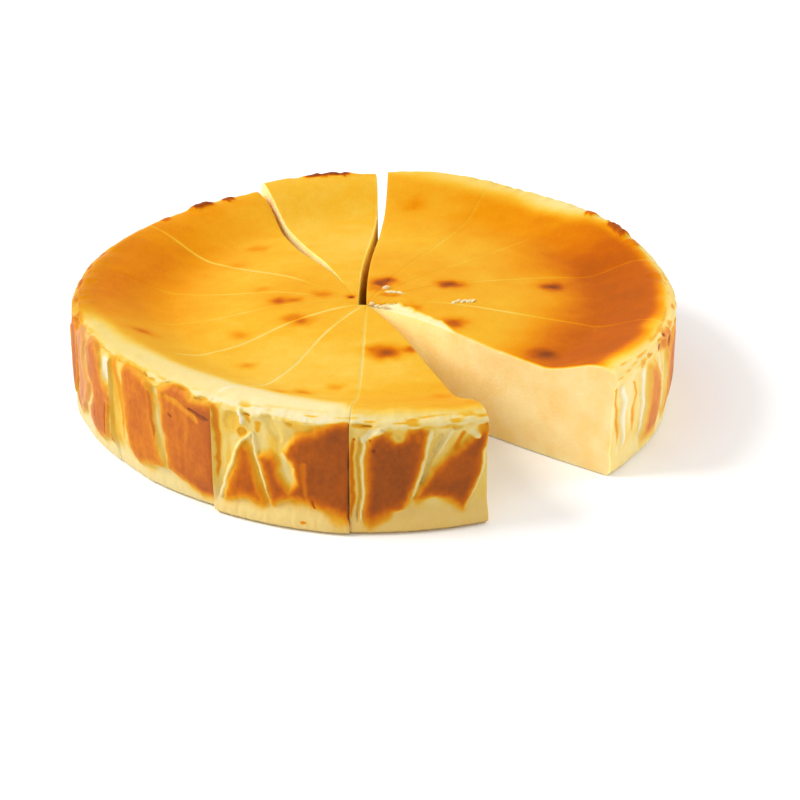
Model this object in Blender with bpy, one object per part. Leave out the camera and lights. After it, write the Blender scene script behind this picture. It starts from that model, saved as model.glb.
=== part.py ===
"""Baked cheesecake, cut in portions, with one portion's place standing empty.

The cake stands on z = 0 with its centre on the origin. Angles run anticlockwise from +X,
and the empty place is at the front right. Every slice is one solid: a radial section of
the cake is worked out for a row of angles across the slice, and the sections are joined.
"""
import math
import random

import bpy
import bmesh

# Driving dimensions, in metres
RADIUS = 0.125
CREST_HEIGHT = 0.048
CUT_GAP = 0.0003
TIP_CUT = 0.0035
CUTS_MEET = (-0.0032, -0.0005)

# Top: a sunken middle, a valley and a raised crest, placed by fractions of a slice's length.
# Towards -X the valley is deeper and the rise to the crest starts earlier than towards +X.
MIDDLE_SINK = 0.0067
VALLEY_SINK = 0.0094
VALLEY_SINK_SIDE = 0.0014
VALLEY_START = 0.25
VALLEY_END = 0.58
RISE_START = 0.68
RISE_START_SIDE = 0.05
CREST_AT = 0.94
LIFT_START = 0.50
ROLL_DROP = 0.0050

# Side wall: creases of the baking paper between flat browned panels
CREASE_DEPTH = 0.0026
CREASE_EDGE = 0.0020
CREASE_FADE_LOW = (0.003, 0.011)
CREASE_FADE_HIGH = (0.036, 0.042)
FOOT_HEIGHT = 0.016
FOOT_BEVEL = 0.0014

# Sections across a slice and points along a section
COLUMNS = 19
WALL_HEIGHTS = (0.006, 0.011, 0.016, 0.021, 0.026, 0.031, 0.036)
ROLL_STEPS = 3
TOP_FRACTIONS = (0.90, 0.85, 0.79, 0.72, 0.62, 0.48, 0.28)

# The slices, anticlockwise from the empty place: name, first and last cut in degrees,
# the crest's lift at the first cut, in the middle and at the last cut in millimetres,
# and how far the foot of the wall stands out at the first and the last cut in millimetres
SLICES = (
    ("slice_01", -41.0, -16.8, (-1.5, -1.5, -2.5), (-2.0, -2.0)),
    ("slice_02", -16.8, 13.6, (-2.5, -3.0, -4.0), (-2.0, -2.5)),
    ("slice_03", 13.6, 43.6, (-2.5, -0.5, -1.5), (-3.0, -2.5)),
    ("slice_04", 43.6, 63.8, (1.8, -1.2, 1.0), (-2.5, -2.0)),
    ("slice_05", 63.8, 87.5, (0.5, 1.9, 1.0), (-1.5, -1.0)),
    ("slice_06", 90.3, 114.5, (-0.2, 0.4, -0.3), (-1.0, -1.5)),
    ("slice_07", 117.6, 145.8, (-4.2, -4.2, -4.5), (-2.0, -2.5)),
    ("slice_08", 145.8, 169.8, (-3.2, -3.6, -3.5), (-2.5, -1.5)),
    ("slice_09", 169.8, 193.0, (-3.5, -2.5, -1.0), (-1.0, -1.0)),
    ("slice_10", 193.0, 214.9, (-1.0, 0.5, 1.2), (-1.0, -3.8)),
    ("slice_11", 214.9, 241.3, (1.2, 1.6, 1.0), (-4.0, -3.6)),
    ("slice_12", 241.3, 266.4, (0.8, 0.6, 0.2), (-0.5, 2.2)),
    ("slice_13", 266.4, 290.7, (0.0, -0.5, -1.4), (1.2, 0.8)),
)

# Browned panels of the front slices, as outlines of (degrees, millimetres of height)
FRONT_PANELS = {
    "slice_11": (
        ((216.6, 11), (217.4, 33), (218.6, 34), (218.4, 11)),
        ((219.8, 12), (228.8, 15), (227.6, 44), (220.2, 46)),
        ((230.2, 14), (241.2, 7), (241.2, 43), (236.0, 45), (229.0, 45)),
    ),
    "slice_12": (
        ((243.4, 9), (250.6, 10), (247.8, 33)),
        ((252.0, 10), (254.6, 12), (254.2, 25), (251.0, 30), (249.6, 27)),
        ((255.6, 13), (260.4, 11), (266.2, 6), (266.2, 45), (261.0, 41), (254.8, 29)),
    ),
    "slice_13": (
        ((266.5, 9), (267.6, 9), (267.4, 38), (266.5, 38)),
        ((269.0, 5), (276.2, 12), (279.4, 42), (276.4, 42), (274.4, 35), (269.2, 38)),
        ((277.8, 14), (285.0, 8), (289.6, 32), (288.6, 38), (284.0, 40)),
    ),
}
PANEL_SEED = 14
BASE_WIDTH = 9.0

SKIN = ("golden_skin", (0.86, 0.50, 0.08, 1.0), 0.38)
WALL = ("browned_wall", (0.58, 0.23, 0.06, 1.0), 0.50)
CUT = ("cream_cut", (0.90, 0.76, 0.47, 1.0), 0.55)


def clear_scene():
    for old in list(bpy.data.objects):
        bpy.data.objects.remove(old, do_unlink=True)


def smooth_step(low, high, value):
    share = min(max((value - low) / (high - low), 0.0), 1.0)
    return share * share * (3.0 - 2.0 * share)


def make_material(name, colour, roughness):
    material = bpy.data.materials.new(name)
    material.use_nodes = True
    material.diffuse_color = colour
    shader = material.node_tree.nodes["Principled BSDF"]
    shader.inputs["Base Color"].default_value = colour
    shader.inputs["Roughness"].default_value = roughness
    shader.inputs["Metallic"].default_value = 0.0
    return material


def rule_panels(name, first, last):
    """Panels of a wall that the front slices do not cover, from the slice's own draw."""
    draw = random.Random(PANEL_SEED + int(name[-2:]))
    count = max(2, round((last - first) / BASE_WIDTH))
    width = (last - first) / count
    panels = []
    for number in range(count):
        left = first + number * width + draw.uniform(0.2, 1.6)
        right = first + (number + 1) * width - draw.uniform(0.2, 1.6)
        lean = draw.uniform(-2.0, 2.0)
        top = draw.uniform(33.0, 40.0)
        panels.append((
            (left, draw.uniform(6.0, 13.0)),
            (right, draw.uniform(6.0, 13.0)),
            (min(right + lean, last - 0.2), top - draw.uniform(0.0, 7.0)),
            ((left + right) / 2 + lean, top + 2.0),
            (max(left + lean, first + 0.2), top - draw.uniform(0.0, 7.0)),
        ))
    return panels


def outline_distance(outline, x, z):
    """Distance in metres from a point to an outline, negative inside it."""
    per_degree = math.radians(RADIUS)
    nearest = math.inf
    inside = False
    corners = [(angle * per_degree, height / 1000) for angle, height in outline]
    for (ax, az), (bx, bz) in zip(corners, corners[1:] + corners[:1]):
        along = ((x - ax) * (bx - ax) + (z - az) * (bz - az)) / ((bx - ax) ** 2 + (bz - az) ** 2)
        along = min(max(along, 0.0), 1.0)
        nearest = min(nearest, math.hypot(x - ax - along * (bx - ax), z - az - along * (bz - az)))
        if (az > z) != (bz > z) and x < ax + (z - az) * (bx - ax) / (bz - az):
            inside = not inside
    return -nearest if inside else nearest


def wall_recess(panels, angle, height):
    """How far the wall is pressed in at an angle and height, in metres."""
    x = angle * math.radians(RADIUS)
    outside = min(outline_distance(panel, x, height) for panel in panels)
    fade = smooth_step(*CREASE_FADE_LOW, height) * (1.0 - smooth_step(*CREASE_FADE_HIGH, height))
    return CREASE_DEPTH * smooth_step(0.0, CREASE_EDGE, outside) * fade


def top_height(fraction, angle, lift):
    """Height of the top at a fraction of the slice's length, under a crest lifted by lift."""
    side = math.cos(math.radians(angle))
    valley = VALLEY_SINK - VALLEY_SINK_SIDE * side - MIDDLE_SINK
    sink = MIDDLE_SINK + valley * smooth_step(VALLEY_START, VALLEY_END, fraction)
    sink *= 1.0 - smooth_step(RISE_START + RISE_START_SIDE * side, CREST_AT, fraction)
    return CREST_HEIGHT - sink + lift * smooth_step(LIFT_START, CREST_AT, fraction)


def crest_lift(lifts, across):
    """Lift of the crest in metres: through the three given values from cut to cut."""
    start, middle, end = lifts
    curve = 2.0 * (start + end - 2.0 * middle)
    slope = end - start - curve
    return (start + slope * across + curve * across * across) / 1000


def section(length, panels, angle, lift, foot):
    """Closed radial section as pairs of fraction from tip to rim, and height."""
    roll_start = CREST_HEIGHT + lift - ROLL_DROP
    tip = TIP_CUT / length

    def wall_fraction(height):
        foot_share = 1.0 - smooth_step(0.0, FOOT_HEIGHT, height)
        return 1.0 + (foot * foot_share - wall_recess(panels, angle, height)) / length

    points = [(tip, 0.0), (wall_fraction(0.0) - FOOT_BEVEL / length, 0.0)]
    points.append((wall_fraction(0.0), FOOT_BEVEL))
    points += [(wall_fraction(height), height) for height in WALL_HEIGHTS]
    for step in range(ROLL_STEPS + 1):
        turn = math.radians(90.0 * step / ROLL_STEPS)
        fraction = CREST_AT + (wall_fraction(roll_start) - CREST_AT) * math.cos(turn)
        points.append((fraction, roll_start + ROLL_DROP * math.sin(turn)))
    points += [(fraction, top_height(fraction, angle, lift)) for fraction in TOP_FRACTIONS]
    points.append((tip, top_height(tip, angle, lift)))
    return points


def slice_tip(first, last):
    """Where the slice's two cut faces would meet, half a gap inside each cut."""
    middle = math.radians((first + last) / 2)
    half = math.radians((last - first) / 2)
    reach = CUT_GAP / 2 / math.sin(half)
    return CUTS_MEET[0] + reach * math.cos(middle), CUTS_MEET[1] + reach * math.sin(middle)


def make_slice(name, first, last, lifts, feet, materials):
    tip_x, tip_y = slice_tip(first, last)
    margin = math.degrees(CUT_GAP / 2 / RADIUS)
    panels = FRONT_PANELS.get(name) or rule_panels(name, first, last)
    shape = bmesh.new()
    rows = []
    for column in range(COLUMNS):
        across = column / (COLUMNS - 1)
        angle = first + margin + (last - first - 2 * margin) * across
        rim_x = RADIUS * math.cos(math.radians(angle))
        rim_y = RADIUS * math.sin(math.radians(angle))
        length = math.hypot(rim_x - tip_x, rim_y - tip_y)
        foot = (feet[0] + (feet[1] - feet[0]) * across) / 1000
        outline = section(length, panels, angle, crest_lift(lifts, across), foot)
        rows.append([
            shape.verts.new((tip_x + (rim_x - tip_x) * share, tip_y + (rim_y - tip_y) * share, height))
            for share, height in outline
        ])
    skin_start = len(WALL_HEIGHTS) + 3
    for row, after in zip(rows, rows[1:]):
        for point in range(len(row)):
            beside = (point + 1) % len(row)
            face = shape.faces.new((row[point], after[point], after[beside], row[beside]))
            face.material_index = 0 if skin_start <= point < len(row) - 1 else 1
            face.smooth = 2 <= point < len(row) - 1
    for end in (rows[0], rows[-1]):
        shape.faces.new(end).material_index = 2
    bmesh.ops.recalc_face_normals(shape, faces=shape.faces)
    mesh = bpy.data.meshes.new(name)
    shape.to_mesh(mesh)
    shape.free()
    for material in materials:
        mesh.materials.append(material)
    mesh.set_sharp_from_angle(angle=math.radians(50.0))
    made = bpy.data.objects.new(name, mesh)
    bpy.context.collection.objects.link(made)


def main():
    clear_scene()
    materials = [make_material(*values) for values in (SKIN, WALL, CUT)]
    for name, first, last, lifts, feet in SLICES:
        make_slice(name, first, last, lifts, feet, materials)


main()
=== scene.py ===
# %% [markdown]
# # A baked cheesecake, cut in portions
# The cake is round and stands on its own. It was baked in a tin lined with paper, so its side
# carries the folds of that paper between flat browned panels. Its top rose and sank again, which
# left a golden hollow inside a pale raised rim. It is cut in portions that keep their places, and
# one portion's place is empty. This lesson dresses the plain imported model: each slice gets a
# finely modelled piece with its own browning, and the plain slice is hidden.

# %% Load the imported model
import math
import random

import bpy
import numpy as np
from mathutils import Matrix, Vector


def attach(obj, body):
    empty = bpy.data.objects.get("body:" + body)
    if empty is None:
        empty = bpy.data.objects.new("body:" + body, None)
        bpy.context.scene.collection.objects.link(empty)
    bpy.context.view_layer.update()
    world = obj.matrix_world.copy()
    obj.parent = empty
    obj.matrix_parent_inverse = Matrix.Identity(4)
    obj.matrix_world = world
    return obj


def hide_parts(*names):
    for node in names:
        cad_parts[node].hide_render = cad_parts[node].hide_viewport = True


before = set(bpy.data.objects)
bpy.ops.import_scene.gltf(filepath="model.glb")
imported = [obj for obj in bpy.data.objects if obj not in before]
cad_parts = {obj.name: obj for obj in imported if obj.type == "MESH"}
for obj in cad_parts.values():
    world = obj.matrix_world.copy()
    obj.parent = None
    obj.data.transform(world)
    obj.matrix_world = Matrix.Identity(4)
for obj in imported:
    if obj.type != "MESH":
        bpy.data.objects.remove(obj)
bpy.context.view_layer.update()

# %% [markdown]
# ## Where things are
# The plain slices follow a few driving sizes. The same values are named again here, so that each
# modelled slice fills the place of its plain one. Angles run anticlockwise from +X, seen from
# above, and lengths are metres unless a name ends in mm.

# %% Driving sizes of the cake
RADIUS = 0.125
CREST_HEIGHT = 0.048
TIP_SHOWN = 0.0006
CUTS_MEET = (-0.0032, -0.0005)
MIDDLE_SINK = 0.0067
VALLEY_SINK = 0.0094
VALLEY_SINK_SIDE = 0.0014
VALLEY_START = 0.25
VALLEY_END = 0.58
RISE_START = 0.68
RISE_START_SIDE = 0.05
CREST_AT = 0.94
LIFT_START = 0.50
ROLL_DROP = 0.0050
FOOT_HEIGHT = 0.016
FOOT_BEVEL = 0.0014
MM_PER_DEGREE = RADIUS * math.pi / 180 * 1000

# The slices: first and last cut in degrees, the crest's lift in millimetres at the first cut,
# in the middle and at the last cut, and how far the foot stands out at the two cuts
SLICES = {
    "slice_01": (-41.0, -16.8, (-1.5, -1.5, -2.5), (-2.0, -2.0)),
    "slice_02": (-16.8, 13.6, (-2.5, -3.0, -3.3), (-2.0, -2.5)),
    "slice_03": (13.6, 43.6, (-3.3, -0.8, 0.2), (-3.0, -2.5)),
    "slice_04": (43.6, 63.8, (0.2, -0.6, 0.8), (-2.5, -2.0)),
    "slice_05": (63.8, 87.5, (0.8, 1.9, 1.0), (-1.5, -1.0)),
    "slice_06": (90.3, 114.5, (-0.2, 0.4, -0.3), (-1.0, -1.5)),
    "slice_07": (117.6, 145.8, (-4.2, -4.2, -3.9), (-2.0, -2.5)),
    "slice_08": (145.8, 169.8, (-3.9, -3.6, -3.5), (-2.5, -1.5)),
    "slice_09": (169.8, 193.0, (-3.5, -2.5, -1.0), (-1.0, -1.0)),
    "slice_10": (193.0, 214.9, (-1.0, 0.5, 1.2), (-1.0, -3.8)),
    "slice_11": (214.9, 241.3, (1.2, 1.6, 0.9), (-4.0, -3.6)),
    "slice_12": (241.3, 266.4, (0.9, 0.6, 0.2), (-0.5, 2.2)),
    "slice_13": (266.4, 290.7, (0.0, -0.5, -1.4), (1.2, 0.8)),
}
# Cut faces that can be seen, because the space beside them is open
OPEN_CUTS = {
    "slice_01": ("first",),
    "slice_05": ("last",),
    "slice_06": ("first", "last"),
    "slice_07": ("first",),
    "slice_13": ("last",),
}
# Cuts as they show on the top: from and to as shares of the radius, and how pale the line is
CUT_LINES = {
    -16.8: (0.20, 1.00, 0.60),
    13.6: (0.35, 1.02, 0.55),
    43.6: (0.30, 0.80, 0.25),
    63.8: (0.45, 0.90, 0.20),
    90.3: (0.10, 0.95, 0.50),
    145.8: (0.25, 1.02, 0.85),
    169.8: (0.10, 0.75, 0.40),
    193.0: (0.20, 0.75, 0.25),
    214.9: (0.05, 0.78, 0.75),
    241.3: (0.05, 0.98, 0.85),
    266.4: (0.10, 0.98, 0.60),
}
# How far the knife strayed from a straight cut: mm anticlockwise at the tip, at each quarter
# and at the rim
CUT_STRAYS = {
    -41.0: (0.0, -1.4, -2.9, -2.3, 0.0),
    -16.8: (0.0, 3.3, 2.6, 1.9, 0.0),
    13.6: (0.0, 4.4, 4.3, 3.2, 0.0),
    43.6: (0.0, 0.0, -1.4, -1.1, 0.0),
    63.8: (0.0, 0.0, -0.9, -0.8, 0.0),
    87.5: (0.0, 1.0, 0.0, -0.9, 0.4),
    90.3: (0.0, 2.0, -0.2, -2.2, 0.0),
    114.5: (0.0, 1.8, 2.0, 1.9, 1.0),
    117.6: (0.0, 1.8, 2.8, -1.2, -0.8),
    145.8: (0.0, 1.6, 2.2, 1.3, 0.0),
    169.8: (0.0, 1.2, 2.9, 2.2, 0.0),
    193.0: (0.0, -0.4, 0.9, 0.8, 0.0),
    214.9: (0.0, 1.6, 3.4, 2.6, 0.0),
    241.3: (0.0, 1.6, 3.1, 2.4, 0.0),
    266.4: (0.0, 1.0, 1.5, 1.1, 0.0),
    290.7: (0.0, 0.0, 0.0, 0.0, 0.0),
}
# The cuts meet a little nearer to the front than their outer parts aim at, and the tips of the
# slices at the left stand to one side, which keeps the back gap open: shifts of the tips in mm
TIP_SHIFT_FRONT = -8.7
TIP_SHIFT_SIDE = {90.3: -2.9, 114.5: -2.9, 117.6: -2.9, 145.8: -2.9, 169.8: -2.9, 193.0: -2.9,
                  214.9: -1.9}
OTHER_SHIFT_SIDE = 0.4
# How fast the shift fades from the tip outwards
TIP_SHIFT_FALL = 6
# Slices whose side is seen from close by, which get the finer mesh
NEAR_SLICES = ("slice_01", "slice_10", "slice_11", "slice_12", "slice_13")
# Space left at a cut whose faces show, and at a shut cut
OPEN_GAP = 0.0003
SHUT_GAP = 0.00003
print("slices:", len(SLICES))

# %% [markdown]
# ## The camera, the light and the floor
# The photograph was taken with a long lens from about 27 degrees above the table, so the camera
# stands a metre away with a long focal length. The room is a white studio: a bright even
# surround, one large soft lamp from the left and a floor so bright that only the core of a
# shadow shows on it.

# %% Camera
VIEW_FROM = (0.0109, -0.8914, 0.4458)
VIEW_TILT = 63.04
LENS = 106.9

camera_data = bpy.data.cameras.new("camera")
camera_data.lens = LENS
camera_data.sensor_width = 36.0
camera_data.clip_end = 20.0
camera = bpy.data.objects.new("camera", camera_data)
camera.location = VIEW_FROM
camera.rotation_euler = (math.radians(VIEW_TILT), 0.0, 0.0)
bpy.context.scene.collection.objects.link(camera)
bpy.context.scene.camera = camera
print("camera at", VIEW_FROM, "lens", LENS)

# %% Light
SURROUND = 0.83
# Soft lamps: name, place, size in metres, power in watts
LAMPS = (
    ("key_lamp", (-2.1, 0.05, 1.75), 1.5, 69.0),
    ("side_lamp", (2.0, 0.5, 1.0), 1.4, 15.0),
)
LAMP_AIM = (0.0, 0.0, 0.02)


def aim_at(thing, place):
    """Turns a lamp so that it shines towards a place."""
    thing.rotation_euler = (Vector(place) - thing.location).to_track_quat("-Z", "Y").to_euler()


world = bpy.data.worlds.new("studio")
world.use_nodes = True
world.node_tree.nodes["Background"].inputs["Color"].default_value = (1.0, 1.0, 1.0, 1.0)
world.node_tree.nodes["Background"].inputs["Strength"].default_value = SURROUND
bpy.context.scene.world = world
bpy.context.scene.view_settings.view_transform = "Standard"

for lamp_name, lamp_place, lamp_size, power in LAMPS:
    lamp_data = bpy.data.lights.new(lamp_name, "AREA")
    lamp_data.energy = power
    lamp_data.shape = "DISK"
    lamp_data.size = lamp_size
    lamp = bpy.data.objects.new(lamp_name, lamp_data)
    lamp.location = lamp_place
    aim_at(lamp, LAMP_AIM)
    bpy.context.scene.collection.objects.link(lamp)
print("lamps:", len(LAMPS))


# %% Small helpers
# How bright a white sheet on the table would be, where 1 is white on the screen
STUDIO_LIGHT = 1.43


def linear(red, green, blue):
    """A colour given as 0 to 255 for the screen, as the values that a shader takes."""
    shares = [value / 255 for value in (red, green, blue)]
    return [s / 12.92 if s <= 0.04045 else ((s + 0.055) / 1.055) ** 2.4 for s in shares] + [1.0]


def seen_under(light, shade):
    """A colour as it looks under a light, as the share of that light that it sends back."""
    return [value / light for value in linear(*shade)[:3]] + [1.0]


def start_material(name, roughness, shine):
    """A new material with its shader, ready for colours and textures."""
    material = bpy.data.materials.new(name)
    material.use_nodes = True
    shader = material.node_tree.nodes["Principled BSDF"]
    shader.inputs["Roughness"].default_value = roughness
    shader.inputs["Specular IOR Level"].default_value = shine
    return material, material.node_tree, shader


def deselect_all():
    """Leaves nothing selected, as an operator acts on all that is."""
    for thing in bpy.context.selected_objects:
        thing.select_set(False)


# %% Floor
FLOOR_SIZE = 8.0
FLOOR_DROP = 0.0004

deselect_all()
bpy.ops.mesh.primitive_plane_add(size=FLOOR_SIZE, location=(0.0, 0.0, -FLOOR_DROP))
floor = bpy.context.object
floor.name = "studio_floor"
bpy.ops.object.transform_apply(location=True, rotation=True, scale=True)
floor_material, _, floor_shader = start_material("white_table", 0.9, 0.1)
floor_shader.inputs["Base Color"].default_value = (0.93, 0.93, 0.93, 1.0)
floor.data.materials.append(floor_material)
print("floor:", FLOOR_SIZE, "m")

# %% [markdown]
# ## A block of cake
# Every slice starts as a cube one unit wide. Its edges are cut into many short ones along its
# length, across it and up it, so its sides become grids fine enough to carry folds and pits.
# A side that never shows is opened before that and closed by one flat face at the end, which
# saves thousands of faces. The block's own coordinates then say for each corner point how far
# along, across and up the slice it lies, and the cake's formulas move it there.

# %% Cutting a block into a fine grid
SIDES = {"tip": (0, 0.0), "wall": (0, 1.0), "first": (1, 0.0), "last": (1, 1.0),
         "bottom": (2, 0.0), "top": (2, 1.0)}
# How many times each edge is divided along, across and up the slice, in two rounds
NEAR_PARTS = ((14, 10), (13, 10), (11, 10))
FAR_PARTS = ((12, 10), (8, 10), (8, 8))
SMALL = 0.000001


def read_rows(items, what, width, kind=float):
    """A property of points, edges or faces as an array with one row for each of them."""
    values = np.empty(len(items) * width, dtype=kind)
    items.foreach_get(what, values)
    return values.reshape(-1, width)


def block_places(mesh):
    """The corner points of a mesh as an array."""
    return read_rows(mesh.vertices, "co", 3)


def edge_ends(mesh):
    """The two corner points of every edge as an array."""
    return read_rows(mesh.edges, "vertices", 2, np.int64)


def face_centres(mesh):
    """The middles of the faces of a mesh as an array."""
    return read_rows(mesh.polygons, "center", 3)


def points_on(places, side):
    """Which corner points lie on a side of the block."""
    axis, place = SIDES[side]
    return np.abs(places[:, axis] - place) < SMALL


def choose(mesh, kind, mask):
    """Selects only the faces or edges of a mask, in face or edge mode."""
    bpy.ops.object.mode_set(mode="EDIT")
    bpy.ops.mesh.select_mode(type=kind)
    bpy.ops.mesh.select_all(action="DESELECT")
    bpy.ops.object.mode_set(mode="OBJECT")
    (mesh.polygons if kind == "FACE" else mesh.edges).foreach_set("select", mask)
    bpy.ops.object.mode_set(mode="EDIT")


def make_block(name, parts, plain_sides):
    """A block whose shown sides are fine grids and whose plain sides are one face each."""
    deselect_all()
    bpy.ops.mesh.primitive_cube_add(size=1.0, location=(0.5, 0.5, 0.5))
    block = bpy.context.object
    block.name = name
    block.data.name = name
    bpy.ops.object.transform_apply(location=True, rotation=True, scale=True)
    mesh = block.data
    centres = face_centres(mesh)
    plain = np.zeros(len(mesh.polygons), dtype=bool)
    for side in plain_sides:
        plain |= points_on(centres, side)
    choose(mesh, "FACE", plain)
    bpy.ops.mesh.delete(type="ONLY_FACE")
    bpy.ops.object.mode_set(mode="OBJECT")
    for axis, rounds in enumerate(parts):
        for count in rounds:
            places = block_places(mesh)
            ends = edge_ends(mesh)
            along = np.abs(places[ends[:, 1], axis] - places[ends[:, 0], axis]) > SMALL
            choose(mesh, "EDGE", along)
            bpy.ops.mesh.subdivide(number_cuts=count - 1)
            bpy.ops.object.mode_set(mode="OBJECT")
    for side in plain_sides:
        on_side = points_on(block_places(mesh), side)
        ends = edge_ends(mesh)
        choose(mesh, "EDGE", on_side[ends[:, 0]] & on_side[ends[:, 1]])
        bpy.ops.mesh.edge_face_add()
        bpy.ops.object.mode_set(mode="OBJECT")
    bpy.ops.object.mode_set(mode="EDIT")
    bpy.ops.mesh.select_all(action="SELECT")
    bpy.ops.mesh.normals_make_consistent(inside=False)
    bpy.ops.object.mode_set(mode="OBJECT")
    return block


# %% [markdown]
# ## Unevenness
# No baked surface is even. A cloud is a smooth field of soft lumps of one size: random values
# sit on the corners of a coarse lattice, and the space between is blended. Clouds of several
# sizes make the wavy crest, the ragged lip and the mottled colour. The values come from whole
# numbers, so each run gives the same cake.


# %% Smooth steps and clouds
def smooth_step(low, high, value):
    """Rises from 0 at low to 1 at high with soft ends, and falls where low is the larger."""
    share = np.clip((value - low) / (high - low), 0.0, 1.0)
    return share * share * (3.0 - 2.0 * share)


def read_table(table, places):
    """Values at places from a table of (place, value), with straight lines between its rows."""
    return np.interp(places, *zip(*table))


def lattice_value(ix, iy, iz, seed):
    """A repeatable value from 0 to 1 for each whole-number place."""
    mixed = (ix * 374761393 + iy * 668265263 + iz * 1103515245 + seed * 97531) & 0xFFFFFFFF
    mixed = ((mixed ^ (mixed >> 13)) * 1274126177) & 0xFFFFFFFF
    return ((mixed ^ (mixed >> 16)) & 0xFFFF) / 65535.0


def cloud(x, y, z, size, seed):
    """Smooth lumps from -1 to 1 of the given size."""
    places = [np.asarray(value, dtype=float) / size for value in np.broadcast_arrays(x, y, z)]
    whole = [np.floor(value).astype(np.int64) for value in places]
    shares = [smooth_step(0.0, 1.0, value - floor) for value, floor in zip(places, whole)]
    total = np.zeros(places[0].shape)
    for dx in (0, 1):
        for dy in (0, 1):
            for dz in (0, 1):
                weight = (shares[0] if dx else 1 - shares[0]) * (shares[1] if dy else 1 - shares[1])
                weight = weight * (shares[2] if dz else 1 - shares[2])
                total += weight * lattice_value(whole[0] + dx, whole[1] + dy, whole[2] + dz, seed)
    return total * 2.0 - 1.0


# %% [markdown]
# ## The side of the cake
# The paper that lined the tin was folded, and the batter set against it. Where the paper lay
# flat against the hot tin, the side browned in flat panels. Where it was creased, the side is
# pressed in and stayed pale. Each panel is an outline of a few points in degrees round the cake
# and millimetres of height. Single creases and thin ridges are straight strokes. Where the side
# is not seen in the photograph, a seeded rule lays out panels of the same kind.

# %% Browned panels
PANELS = {
    "slice_01": (
        ((331.9, 36), (334.6, 35.5), (337.0, 27), (337.4, 22), (337.2, 17), (336.4, 10), (336.0, 6),
         (330.2, 6), (330.7, 12), (331.7, 18), (331.9, 24), (332.4, 30)),
        ((338.8, 44), (341.6, 36), (342.2, 31), (342.4, 22), (341.9, 14), (341.0, 7), (345.0, 5),
         (345.0, 46)),
    ),
    "slice_10": (
        ((190.5, 14), (195.2, 15), (197.4, 22), (198.2, 30), (199.0, 42), (197.0, 45), (190.5, 44)),
        ((199.6, 46), (201.8, 47), (203.4, 44), (202.4, 38), (202.0, 34), (203.4, 29), (204.8, 26),
         (203.6, 19), (201.0, 12), (197.0, 7), (196.4, 10), (199.4, 20), (200.2, 28), (199.4, 36)),
        ((206.0, 48), (207.5, 49.2), (209.6, 47), (210.5, 42), (210.6, 38), (212.2, 33), (215.4, 29.5),
         (215.8, 28), (213.6, 27), (213.2, 18), (212.2, 10), (209.5, 7), (206.0, 8), (206.2, 13),
         (206.8, 18), (208.0, 24), (207.6, 28), (206.0, 31), (205.0, 37), (205.2, 43)),
        ((215.4, 25), (217.0, 24), (216.4, 14), (214.8, 9), (214.0, 10), (214.9, 17)),
    ),
    "slice_11": (
        ((220.2, 49), (221.5, 50), (223.4, 50.5), (225.2, 49), (227.2, 44), (227.4, 38), (228.0, 26),
         (229.0, 18), (229.6, 12.5), (226.8, 11), (223.0, 8), (221.8, 10), (221.0, 16), (220.2, 21),
         (219.8, 30), (219.8, 40)),
        ((229.8, 42), (230.8, 47), (232.2, 51.5), (235.4, 50), (236.8, 46), (239.6, 45.6),
         (242.8, 44.4), (242.8, 5), (240.4, 5), (238.4, 5), (236.4, 7.5), (233.2, 11), (231.4, 13),
         (231.0, 20), (231.0, 28), (230.2, 36)),
    ),
    "slice_12": (
        ((247.2, 31), (248.6, 29.5), (249.0, 25), (249.4, 19), (250.2, 13), (251.2, 8.5), (248.0, 10),
         (244.2, 8.5), (244.5, 12), (245.8, 22)),
        ((250.9, 28), (252.8, 29), (253.7, 27), (253.9, 22), (254.9, 18), (255.6, 14), (252.9, 10),
         (251.7, 19)),
        ((268.0, 46), (264.0, 45), (261.0, 41.5), (258.5, 38), (256.3, 35), (255.2, 31), (257.2, 26),
         (257.4, 19), (255.6, 14), (257.4, 13.5), (260.0, 12), (262.8, 10), (265.0, 7), (268.0, 6)),
    ),
    "slice_13": (
        ((269.7, 35), (270.5, 39), (272.0, 42), (273.4, 40), (274.2, 38), (275.4, 38), (276.6, 41.5),
         (278.6, 42.5), (279.6, 41), (279.0, 34), (278.2, 26), (277.2, 19), (276.2, 13), (275.4, 10.5),
         (273.5, 9), (271.8, 7), (269.9, 5), (269.5, 7), (269.5, 22)),
        ((290.2, 40), (290.0, 33), (289.3, 26), (288.0, 18), (286.0, 9), (284.0, 12.5), (281.2, 14.5),
         (279.2, 14.5), (278.3, 14), (279.1, 19), (280.8, 24), (282.8, 28), (285.0, 32), (287.0, 35),
         (288.2, 38)),
    ),
}
PANEL_SEED = 14
BASE_WIDTH = 9.0
# How brown the panels are drawn by degrees, from 0, pale, to 1, nearly black; paler at the left and right
# where the lamps fall, as painted light, and darker in front, as painted shade
PANEL_TONE_AND_LIGHT = ((0, 0.7), (170, 0.72), (195, 0.71), (199.5, 0.66), (206, 0.65), (214, 0.66), (219, 0.63),
              (228, 0.645), (230, 0.66), (242, 0.69), (243, 0.685), (249.5, 0.7), (251, 0.745),
              (256, 0.77), (267, 0.765), (269, 0.77), (278, 0.77), (291, 0.76), (319, 0.62), (338, 0.6),
              (341, 0.65), (346, 0.66), (360, 0.7))


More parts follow.
